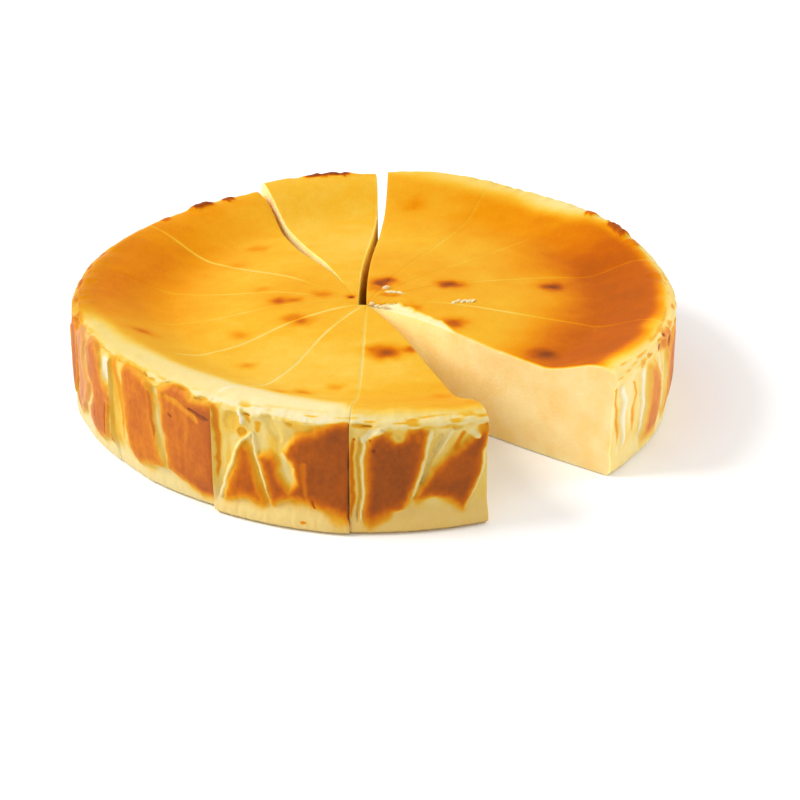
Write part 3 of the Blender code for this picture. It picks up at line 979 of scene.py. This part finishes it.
# Where the pale band of the crest starts, as a share of the radius, by degrees
PALE_FROM = ((-41, 0.93), (-20, 0.93), (0, 0.94), (13, 0.95), (35, 0.9), (45, 0.86), (60, 0.86),
             (75, 0.88), (88, 0.94), (92, 0.99), (115, 1.02), (150, 1.02), (180, 0.99), (193, 0.93),
             (203, 0.89), (215, 0.84), (232, 0.815), (245, 0.79), (258, 0.82), (265, 0.87), (267, 0.94),
             (291, 0.94), (319, 0.93))
# Browning of that band, by degrees
CREST_TONE = ((-41, 0.24), (10, 0.28), (22, 0.2), (45, 0.18), (60, 0.27), (88, 0.3), (135, 0.36),
              (150, 0.48), (187, 0.51), (194, 0.36), (201, 0.22), (215, 0.2), (232, 0.17), (250, 0.11),
              (264, 0.13), (269, 0.19), (291, 0.21), (319, 0.24))


def from_first_cut(degrees):
    """The same angles within one full turn from the first cut, beside the empty place."""
    first_cut = SLICES["slice_01"][0]
    return np.mod(degrees - first_cut, 360.0) + first_cut


def crest_tone(degrees):
    """Browning of the crest's pale band."""
    return read_table(CREST_TONE, from_first_cut(degrees))


def top_tone(name, degrees, x, y, from_first):
    """Browning of the top at places in plan."""
    out = np.hypot(x, y) / RADIUS
    turned = from_first_cut(degrees)
    amber = read_table(AMBER, turned)
    pale_from = read_table(PALE_FROM, turned) + 0.018 * cloud(x, y, 0.0, 0.012, 51)
    tone = read_table(MIDDLE_TONE, turned) + 0.020 * cloud(x, y, 0.0, 0.030, 52)
    tone = tone + 0.018 * cloud(x, y * 1.6, 0.0, 0.009, 53) + 0.04 * (1.0 - smooth_step(0.25, 0.55, out))
    inner = smooth_step(0.42, 0.80, out + 0.04 * cloud(x, y, 0.0, 0.025, 54))
    tone = tone + amber * inner * (1.0 - 0.5 * smooth_step(0.90, 1.0, out))
    tone = spot_field(x, y, tone)
    pale = smooth_step(-0.035, 0.065, out - pale_from)
    tone = tone + (crest_tone(degrees) - tone) * pale
    torn = torn_share(name, x, y, from_first)
    return tone + (TORN_TONE - tone) * torn


# %% Browning of the side
# How much paler a panel is at its border, and how much browner the crease is beside it
BORDER_PALER = 0.10
GLOW_TONE = 0.10
# Painted shade in the pits under the lip, and the browning of the golden flecks above it, which partly
# paint the shade under the lip's torn flakes
PIT_SHADE_TONE = 0.42
FLECK_AND_SHADE_TONE = 0.26
# Browning of the foot's pale strip by degrees, darker in front, from about 243 to 291 degrees, as painted
# shade
FOOT_TONE_AND_SHADE = ((0, 0.16), (200, 0.12), (240, 0.16), (243, 0.23), (262, 0.27), (268, 0.32), (291, 0.31),
             (330, 0.16))
# Browning between the panels, by degrees
GROUND_TONE = ((0, 0.18), (180, 0.3), (190, 0.4), (204, 0.38), (208, 0.36), (217, 0.34), (219, 0.28),
               (228, 0.22), (242, 0.28), (256, 0.24), (266, 0.29), (270, 0.24), (291, 0.22), (319, 0.2),
               (345, 0.22), (360, 0.18))


def side_tone(name, panels, degrees, height_mm):
    """Browning of the side at an angle and a height along it."""
    x = degrees * MM_PER_DEGREE
    bent_degrees, bent_height = bent(degrees, height_mm)
    inside = depth_inside(panels, bent_degrees, bent_height, 1.3)
    inside = inside + 0.30 * cloud(x, height_mm * 0.6, 0.0, 1.3, 61)
    turned = np.mod(degrees, 360.0)
    # The panels' browning, with painted light where the lamps fall and painted shade in front
    tone_inside = read_table(PANEL_TONE_AND_LIGHT, turned) + 0.04 * cloud(x, height_mm, 0.0, 8.0, 62)
    tone_inside = tone_inside + 0.02 * cloud(x, height_mm, 0.0, 1.6, 63)
    tone_inside = tone_inside - BORDER_PALER * (1.0 - smooth_step(0.2, 3.6, inside))
    # The foot's browning, darker in front as painted shade
    foot = read_table(FOOT_TONE_AND_SHADE, degrees)
    ground = read_table(GROUND_TONE, turned) + 0.10 * cloud(x, height_mm * 0.35, 0.0, 4.0, 64)
    ground = foot + (ground - foot) * smooth_step(6.0, 14.0, height_mm)
    glow = (1.0 - smooth_step(0.5, 4.5, -inside)) * smooth_step(8.0, 16.0, height_mm)
    ground = ground + GLOW_TONE * glow
    soft = 1.3 + 1.2 * (1.0 - smooth_step(7.0, 18.0, height_mm)) + 1.1 * smooth_step(30.0, 42.0, height_mm)
    soft = soft * (1.0 + 0.7 * cloud(x, height_mm * 0.5, 0.0, 6.0, 67))
    tone = ground + (tone_inside - ground) * smooth_step(-2.1 * soft, 1.0 * soft, inside)
    marks = np.zeros(np.shape(x))
    for hollow in HOLLOWS.get(name, ()):
        share = hollow_share(hollow, bent_degrees, bent_height)
        tone = tone + (hollow[4] - tone) * share
        marks = np.maximum(marks, share)
    for stroke in STROKES.get(name, ()):
        tone = tone + (stroke[4] - tone) * stroke_share(stroke, bent_degrees, bent_height)
    # Painted shade in the pits under the lip
    pits = pit_share(degrees, height_mm)
    tone = tone + (np.maximum(tone, PIT_SHADE_TONE) - tone) * pits * 0.8
    above = smooth_step(-0.6, 0.8, height_mm - lip_height(degrees))
    # Golden flecks above the lip, partly painted shade under its torn flakes
    flecks = FLECK_AND_SHADE_TONE * smooth_step(0.0, 0.7, cloud(x * 0.4, height_mm * 1.7, 0.0, 2.2, 66))
    crest = crest_tone(degrees) - 0.04 + 0.04 * cloud(x, height_mm, 0.0, 3.0, 65) + flecks
    return tone + (crest - tone) * above * (1.0 - marks)


# How pale the side is drawn by degrees: the skin's own pale bloom, and a painted sheen where the lamps
# graze it, strongest on the left and right
MILKY_AND_SHEEN_SIDE = ((0, 0.08), (170, 0.06), (198, 0.03), (199.5, 0.24), (206, 0.18), (208, 0.08), (216, 0.04),
              (240, 0.05), (244, 0.02), (291, 0.02), (319, 0.08), (338, 0.12), (346, 0.1), (360, 0.06))
# How much paler and greyer the foot is drawn in front, which tunes the painted shade there, and where that
# starts and ends in degrees
MILKY_SHADED_FOOT = 0.18
FRONT_FOOT_FROM = (238.0, 243.0)
FRONT_FOOT_TO = (291.0, 300.0)
# Painted light and painted shade on the rim and the side, by degrees: how much brighter or darker each
# angle is drawn than its browning says
PAINTED_LIGHT_SIDE = ((0, 0.12), (30, 0.0), (140, 0.0), (160, -0.14), (190, -0.2), (200, -0.13), (215, -0.1),
               (240, 0.0), (262, 0.02), (267, -0.02), (291, -0.02), (319, 0.24), (345, 0.22),
               (360, 0.12))
# Painted light on the torn strip beside the empty place
TORN_PAINTED_LIGHT = 0.12


def milky_and_sheen_share(shape, turn, side_mm, tone):
    """How pale the skin is drawn: only the side is, with its pale bloom and a painted sheen, and most of
    all the foot in front, where this tunes the painted shade.
    """
    turned = np.mod(shape.degrees, 360.0)
    # The side's pale bloom and painted sheen
    milky_and_sheen = read_table(MILKY_AND_SHEEN_SIDE, turned) * (1.0 - smooth_step(45.0, 80.0, turn))
    front = smooth_step(*FRONT_FOOT_FROM, turned) * (1.0 - smooth_step(*FRONT_FOOT_TO, turned))
    foot = (1.0 - smooth_step(7.0, 13.0, side_mm)) * (1.0 - smooth_step(0.30, 0.45, tone))
    # At the front foot this mix tunes the painted shade
    return milky_and_sheen + MILKY_SHADED_FOOT * front * foot


def painted_light_share(shape, fraction, torn):
    """Painted light and shade: how much brighter or darker than its browning says the side, the rim and
    the torn strip are drawn.
    """
    turned = np.mod(shape.degrees, 360.0)
    painted_light = read_table(PAINTED_LIGHT_SIDE, turned) * smooth_step(0.86, 0.96, fraction)
    return painted_light + (TORN_PAINTED_LIGHT - painted_light) * torn


# %% [markdown]
# ## Finishes
# The crust's finish turns the browning into colour with one ramp, the way that sugar and milk
# brown in an oven, and adds fine mottling, pores and a soft gloss. The cut faces are paler and
# duller, with the upright drag marks of the knife. Light goes a little way into both.
# Painted light and shade, and a painted sheen on the side, are numbers on the mesh that are mixed into the
# colour too.

# %% Tools for finishes
TONES = (
    (0.00, (255, 246, 222)),
    (0.10, (253, 235, 174)),
    (0.24, (252, 219, 120)),
    (0.33, (251, 204, 80)),
    (0.40, (248, 186, 44)),
    (0.52, (242, 154, 8)),
    (0.62, (225, 122, 2)),
    (0.70, (203, 98, 8)),
    (0.80, (165, 81, 22)),
    (0.90, (121, 55, 21)),
    (1.00, (66, 26, 14)),
)
# Where the skin is thin it looks pale, and where a lamp grazes the side a painted sheen is drawn: this
# colour is mixed in for both
MILKY_SHEEN_COLOUR = (255, 236, 206)
# How little the cake mirrors its surroundings
CAKE_SHINE = 0.02


def add_node(tree, kind, **values):
    """A new node with its named properties set."""
    node = tree.nodes.new(kind)
    for name, value in values.items():
        setattr(node, name, value)
    return node


def read_number(tree, name):
    """The number of a name that the mesh carries for each corner point."""
    return add_node(tree, "ShaderNodeAttribute", attribute_name=name).outputs["Fac"]


def add_noise(tree, coordinates, size, detail=2.0):
    """A noise texture with features of the given size in metres."""
    noise = add_node(tree, "ShaderNodeTexNoise")
    noise.inputs["Scale"].default_value = 1.0 / size
    noise.inputs["Detail"].default_value = detail
    tree.links.new(coordinates, noise.inputs["Vector"])
    return noise.outputs["Fac"]


def add_math(tree, operation, first, second, clamp=False):
    """A sum, product or other operation on two values or sockets."""
    node = add_node(tree, "ShaderNodeMath", operation=operation, use_clamp=clamp)
    for socket, value in zip(node.inputs, (first, second)):
        if isinstance(value, (int, float)):
            socket.default_value = value
        else:
            tree.links.new(value, socket)
    return node.outputs[0]


def add_bump(tree, heights, shader):
    """Chains bumps of (height socket, distance in metres, strength) into the shader."""
    normal = None
    for height, distance, strength in heights:
        bump = add_node(tree, "ShaderNodeBump")
        bump.inputs["Distance"].default_value = distance
        bump.inputs["Strength"].default_value = strength
        tree.links.new(height, bump.inputs["Height"])
        if normal:
            tree.links.new(normal, bump.inputs["Normal"])
        normal = bump.outputs["Normal"]
    tree.links.new(normal, shader.inputs["Normal"])


# %% Browning as colour
def add_browning_colour(tree, browning, light):
    """The colour ramp of browning, for a place under the given light."""
    ramp = add_node(tree, "ShaderNodeValToRGB")
    ramp.color_ramp.elements.remove(ramp.color_ramp.elements[1])
    ramp.color_ramp.elements[0].position = TONES[0][0]
    ramp.color_ramp.elements[0].color = seen_under(light, TONES[0][1])
    for position, shade in TONES[1:]:
        ramp.color_ramp.elements.new(position).color = seen_under(light, shade)
    tree.links.new(browning, ramp.inputs["Fac"])
    return ramp.outputs["Color"]


def add_blend(tree, share, first, second):
    """Mixes two colours, each a socket or a fixed value, by a share."""
    blend = add_node(tree, "ShaderNodeMix", data_type="RGBA")
    tree.links.new(share, blend.inputs["Factor"])
    for name, value in (("A", first), ("B", second)):
        if isinstance(value, list):
            blend.inputs[name].default_value = value
        else:
            tree.links.new(value, blend.inputs[name])
    return blend.outputs["Result"]


def add_painted_light(tree, colour):
    """Makes a colour brighter or darker by the painted light and shade that the mesh carries."""
    painted_light = read_number(tree, "painted_light")
    lift = add_node(tree, "ShaderNodeHueSaturation")
    tree.links.new(add_math(tree, "ADD", painted_light, 1.0), lift.inputs["Value"])
    tree.links.new(colour, lift.inputs["Color"])
    return lift.outputs["Color"]


def set_glow(shader, weight, depth):
    """Lets light go a little way in, further for red than for blue."""
    shader.inputs["Subsurface Weight"].default_value = weight
    shader.inputs["Subsurface Radius"].default_value = (1.0, 0.55, 0.2)
    shader.inputs["Subsurface Scale"].default_value = depth


# %% Baked crust
# How much the fine mottling changes the browning
MOTTLING = 0.055


def make_crust():
    """The baked crust: colour by browning, mottling and pores, with the pale bloom, the painted sheen and
    the painted light mixed in.
    """
    material, tree, shader = start_material("baked_crust", 0.42, CAKE_SHINE)
    place = add_node(tree, "ShaderNodeTexCoord").outputs["Object"]
    browning = read_number(tree, "browning")
    coarse = add_noise(tree, place, 0.0042, 3.0)
    fine = add_noise(tree, place, 0.0011, 3.0)
    for noise in (coarse, fine):
        change = add_math(tree, "MULTIPLY", add_math(tree, "SUBTRACT", noise, 0.5), MOTTLING)
        browning = add_math(tree, "ADD", browning, change)
    milky_and_sheen = read_number(tree, "milky_and_sheen")
    colour = add_browning_colour(tree, browning, STUDIO_LIGHT)
    # The pale bloom and the painted sheen are mixed in
    colour = add_blend(tree, milky_and_sheen, colour, seen_under(STUDIO_LIGHT, MILKY_SHEEN_COLOUR))
    # Painted light and shade from the mesh
    tree.links.new(add_painted_light(tree, colour), shader.inputs["Base Color"])
    set_glow(shader, 0.12, 0.003)
    add_bump(tree, ((coarse, 0.0004, 0.35), (fine, 0.00025, 0.5)), shader)
    return material


# %% Cut face
# The cut faces lie a little in the shade, so their colour is stated for less light
CUT_LIGHT = 1.22
# The marbling's darker and lighter cream, and the noise values that give them
CREAM = ((0.35, (251, 214, 138)), (0.65, (254, 228, 164)))


def make_cut_face(name, glow_weight, glow_depth):
    """A cut face: cream with faint marbling and drag marks, and browned towards the skin."""
    material, tree, shader = start_material(name, 0.6, CAKE_SHINE)
    place = add_node(tree, "ShaderNodeTexCoord").outputs["Object"]
    squash = add_node(tree, "ShaderNodeMapping")
    squash.inputs["Scale"].default_value = (1.0, 1.0, 0.12)
    tree.links.new(place, squash.inputs["Vector"])
    drag = add_noise(tree, squash.outputs["Vector"], 0.0016, 4.0)
    crumb = add_noise(tree, place, 0.0013, 4.0)
    marbling = add_noise(tree, place, 0.012, 3.0)
    cream = add_node(tree, "ShaderNodeValToRGB")
    for element, (position, shade) in zip(cream.color_ramp.elements, CREAM):
        element.position = position
        element.color = seen_under(CUT_LIGHT, shade)
    tree.links.new(marbling, cream.inputs["Fac"])
    browning = read_number(tree, "browning")
    share = add_node(tree, "ShaderNodeMapRange", interpolation_type="SMOOTHSTEP")
    share.inputs["From Min"].default_value = 0.10
    share.inputs["From Max"].default_value = 0.42
    tree.links.new(browning, share.inputs["Value"])
    # The browns of a cut face are stated for light 1.0, less than the crust's, so they are drawn lighter
    # as painted light in the shaded gaps
    brown = add_browning_colour(tree, browning, 1.0)
    colour = add_blend(tree, share.outputs["Result"], cream.outputs["Color"], brown)
    # Painted light from the mesh, strongest at the tips of the open cut faces
    tree.links.new(add_painted_light(tree, colour), shader.inputs["Base Color"])
    set_glow(shader, glow_weight, glow_depth)
    add_bump(tree, ((drag, 0.0006, 0.4), (crumb, 0.0004, 0.5)), shader)
    return material


crust = make_crust()
cut_face = make_cut_face("cream_cut", 0.3, 0.005)
gap_face = make_cut_face("glowing_cut", 1.0, 0.022)
print("finishes:", [crust.name, cut_face.name, gap_face.name])

# %% [markdown]
# ## Making the slices
# The block is cut, its points are laid into the slice's place, and the browning is written on
# the mesh. Borders of the cut faces stay sharp and the rest is shaded smooth.

# %% One slice
# The pale line of a cut: half its width in mm, and how much paler it is
LINE_HALF_MM = 0.55
LINE_PALER = 0.22
# The browned skin as a cut face shows it: how brown, and how thick in mm
SKIN_TONE = 0.30
SKIN_MM = 0.9
# The slice between the two open gaps, whose cut faces light shines through
GLOWING_SLICES = ("slice_06",)
# Painted shade and bounced light in the narrow gaps: how much browner than cream a cut face there is drawn
GAP_SHADE_TONES = {("slice_06", "first"): 0.35, ("slice_06", "last"): 0.05, ("slice_07", "first"): 0.06}
# Painted light on the cut faces: how much brighter a cut face is drawn at its tip and at the rim, against
# the shade of the narrow gaps
PAINTED_LIGHT_FACES = {("slice_01", "first"): (0.35, 0.02), ("slice_13", "last"): (0.30, 0.0),
               ("slice_07", "first"): (0.30, 0.22), ("slice_05", "last"): (0.20, 0.20)}


def write_number(mesh, name, values):
    """Stores one number for each corner point."""
    layer = mesh.attributes.new(name, "FLOAT", "POINT")
    layer.data.foreach_set("value", values.astype(np.float32))


def sharpen_borders(mesh, sides_of):
    """Marks the borders of the cut faces, the underside and the tip as sharp."""
    ends = edge_ends(mesh)
    on = {side: mask[ends[:, 0]] & mask[ends[:, 1]] for side, mask in sides_of.items()}
    count = sum(mask.astype(int) for mask in on.values())
    border = (on["first"] | on["last"] | on["bottom"] | on["tip"]) & (count >= 2)
    choose(mesh, "EDGE", border)
    bpy.ops.mesh.mark_sharp()
    bpy.ops.object.mode_set(mode="OBJECT")


def line_share(cut, from_cut, out):
    """Where a cut's pale line is on the top, from 0 to 1."""
    start, end, strength = CUT_LINES.get(cut, (0.0, 0.0, 0.0))
    near = 1.0 - smooth_step(LINE_HALF_MM * 0.4, LINE_HALF_MM * 1.6, from_cut)
    begun = smooth_step(start - 0.08, start + 0.08, out)
    ended = smooth_step(end - 0.06, end, out)
    return strength * near * begun * (1.0 - ended)


def crust_tone(shape, fraction, x, y, turn, side_mm):
    """Browning of the crust, from the side over the crest to the top."""
    from_first, from_last = shape.cut_mm(fraction)
    upper = top_tone(shape.name, shape.degrees, x, y, from_first)
    lower = side_tone(shape.name, shape.panels, shape.panel_degrees, side_mm)
    lines = line_share(shape.first, from_first, fraction) + line_share(shape.last, from_last, fraction)
    upper = upper - LINE_PALER * lines * (0.75 + 0.35 * cloud(x, y, 0.0, 0.012, 71))
    tone = lower + (upper - lower) * smooth_step(50.0, 86.0, turn)
    return np.maximum(tone, rim_lump(shape.degrees, fraction)[1])


def finish_cut_faces(shape, sides_of, fraction, height, tone, painted_light):
    """The browning and the painted light with those of the open cut faces filled in."""
    inner = ~(sides_of["wall"] | sides_of["top"])
    under_mm = (middle_height(fraction, shape.degrees, shape.lift) - height) * 1000
    for side in shape.open_sides:
        face = sides_of[side] & inner
        # Painted shade of the narrow gaps, drawn as browning on the cut face
        gap_shade_tone = GAP_SHADE_TONES.get((shape.name, side), 0.0)
        skin = (SKIN_TONE - 0.6 * gap_shade_tone) * np.exp(-np.maximum(under_mm, 0.0) / SKIN_MM)
        tone = np.where(face, gap_shade_tone + skin, tone)
        # Painted light at the tip and the rim of an open cut face
        at_tip, at_rim = PAINTED_LIGHT_FACES.get((shape.name, side), (0.0, 0.0))
        face_painted_light = at_rim + (at_tip - at_rim) * (1.0 - smooth_step(0.15, 0.60, fraction))
        painted_light = np.where(face, face_painted_light, painted_light)
    return tone, painted_light


def make_slice(name):
    """One slice in its place, with its relief, browning and finishes."""
    shape = Slice(name)
    plain = ["bottom", "tip"] + [side for side in ("first", "last") if side not in shape.open_sides]
    block = make_block("cake_" + name, NEAR_PARTS if name in NEAR_SLICES else FAR_PARTS, plain)
    mesh = block.data
    places = block_places(mesh)
    along, across, up = places.T
    sides_of = {side: points_on(places, side) for side in SIDES}
    centres = face_centres(mesh)
    is_crust = points_on(centres, "wall") | points_on(centres, "top")
    mesh.materials.append(crust)
    mesh.materials.append(gap_face if name in GLOWING_SLICES else cut_face)
    mesh.polygons.foreach_set("material_index", np.where(is_crust, 0, 1).astype(np.int32))
    shape.place_across(across)
    fraction, height = shape.section(along, up)
    x, y = shape.in_plan(fraction)
    mesh.vertices.foreach_set("co", np.stack((x, y, height), axis=1).ravel())
    on_wall = along >= 1.0 - SMALL
    turn = np.where(on_wall, wall_turn(up), top_turn(along))
    side_mm = np.where(on_wall & (up <= WALL_SHARE), height * 1000, shape.roll_mm(turn))
    tone = crust_tone(shape, fraction, x, y, turn, side_mm)
    torn = torn_share(name, x, y, shape.cut_mm(fraction)[0]) * (along < 1.0)
    # Painted light and shade by angle and on the torn strip
    painted_light = painted_light_share(shape, fraction, torn)
    tone, painted_light = finish_cut_faces(shape, sides_of, fraction, height, tone, painted_light)
    write_number(mesh, "browning", tone)
    write_number(mesh, "milky_and_sheen", milky_and_sheen_share(shape, turn, side_mm, tone))
    write_number(mesh, "painted_light", painted_light)
    bpy.ops.object.shade_smooth()
    sharpen_borders(mesh, sides_of)
    mesh.update()
    return block


# %% [markdown]
# ## Crumbs
# A few crumbs of the creamy inside lie on the top near the middle. Each is a small ball that is
# pressed flat, turned and made uneven, and all of them are one piece.

# %% Crumbs
# Place in plan as shares of the radius, half length, half width and half height in mm, and turn
# in degrees
CRUMBS = (
    (0.041, 0.056, 1.5, 1.1, 0.9, 10), (-0.005, -0.072, 1.5, 0.9, 0.7, 60),
    (0.012, -0.084, 1.3, 0.8, 0.5, 20), (0.04, -0.092, 2.0, 0.9, 0.4, -15),
    (0.06, 0.022, 3.0, 0.9, 0.5, -10), (0.086, 0.016, 2.4, 0.8, 0.4, -25),
    (0.262, -0.062, 1.2, 0.8, 0.4, 60), (0.277, -0.048, 2.0, 0.9, 0.5, 55),
    (0.296, -0.05, 2.2, 0.9, 0.5, 50), (0.313, -0.048, 1.9, 0.8, 0.4, 55),
    (0.328, -0.044, 1.5, 0.8, 0.4, 60),
)
# How deep a crumb sits in the top and how uneven it is, in metres
CRUMB_SINK = 0.0003
CRUMB_UNEVEN = 0.00028


def make_crumb_finish():
    """Crumbs of the creamy inside."""
    material, _, shader = start_material("cream_crumb", 0.7, CAKE_SHINE)
    shader.inputs["Base Color"].default_value = seen_under(STUDIO_LIGHT, (253, 228, 172))
    set_glow(shader, 0.3, 0.002)
    return material


def make_crumbs():
    """Uneven little lumps, set half way into the top and joined into one piece."""
    made = []
    for plan_x, plan_y, long_mm, wide_mm, high_mm, turn in CRUMBS:
        out = math.hypot(plan_x, plan_y)
        height = middle_height(out, math.degrees(math.atan2(plan_y, plan_x)), 0.0) - CRUMB_SINK
        deselect_all()
        bpy.ops.mesh.primitive_ico_sphere_add(subdivisions=4, radius=0.001,
                                              location=(plan_x * RADIUS, plan_y * RADIUS, height),
                                              rotation=(0.0, 0.0, math.radians(turn)),
                                              scale=(long_mm, wide_mm, high_mm))
        bpy.ops.object.transform_apply(location=True, rotation=True, scale=True)
        made.append(bpy.context.object)
    deselect_all()
    for crumb in made:
        crumb.select_set(True)
    bpy.context.view_layer.objects.active = made[0]
    bpy.ops.object.join()
    crumbs = made[0]
    crumbs.name = "cake_crumbs"
    mesh = crumbs.data
    places = block_places(mesh)
    x, y, z = places.T * 1000
    for axis in range(3):
        places[:, axis] += CRUMB_UNEVEN * cloud(x, y, z, 0.9, 81 + axis)
    mesh.vertices.foreach_set("co", places.ravel())
    mesh.materials.append(make_crumb_finish())
    bpy.ops.object.shade_smooth()
    mesh.update()
    return crumbs


crumbs = make_crumbs()
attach(crumbs, "root")
print(crumbs.name, len(crumbs.data.polygons), "faces")

# %% [markdown]
# ## Every slice in its place
# Each modelled slice stands in for its plain one and rides on the cake's single body.

# %% All slices
for name in SLICES:
    piece = make_slice(name)
    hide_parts(name)
    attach(piece, "root")
    print(piece.name, len(piece.data.vertices), "points", len(piece.data.polygons), "faces")
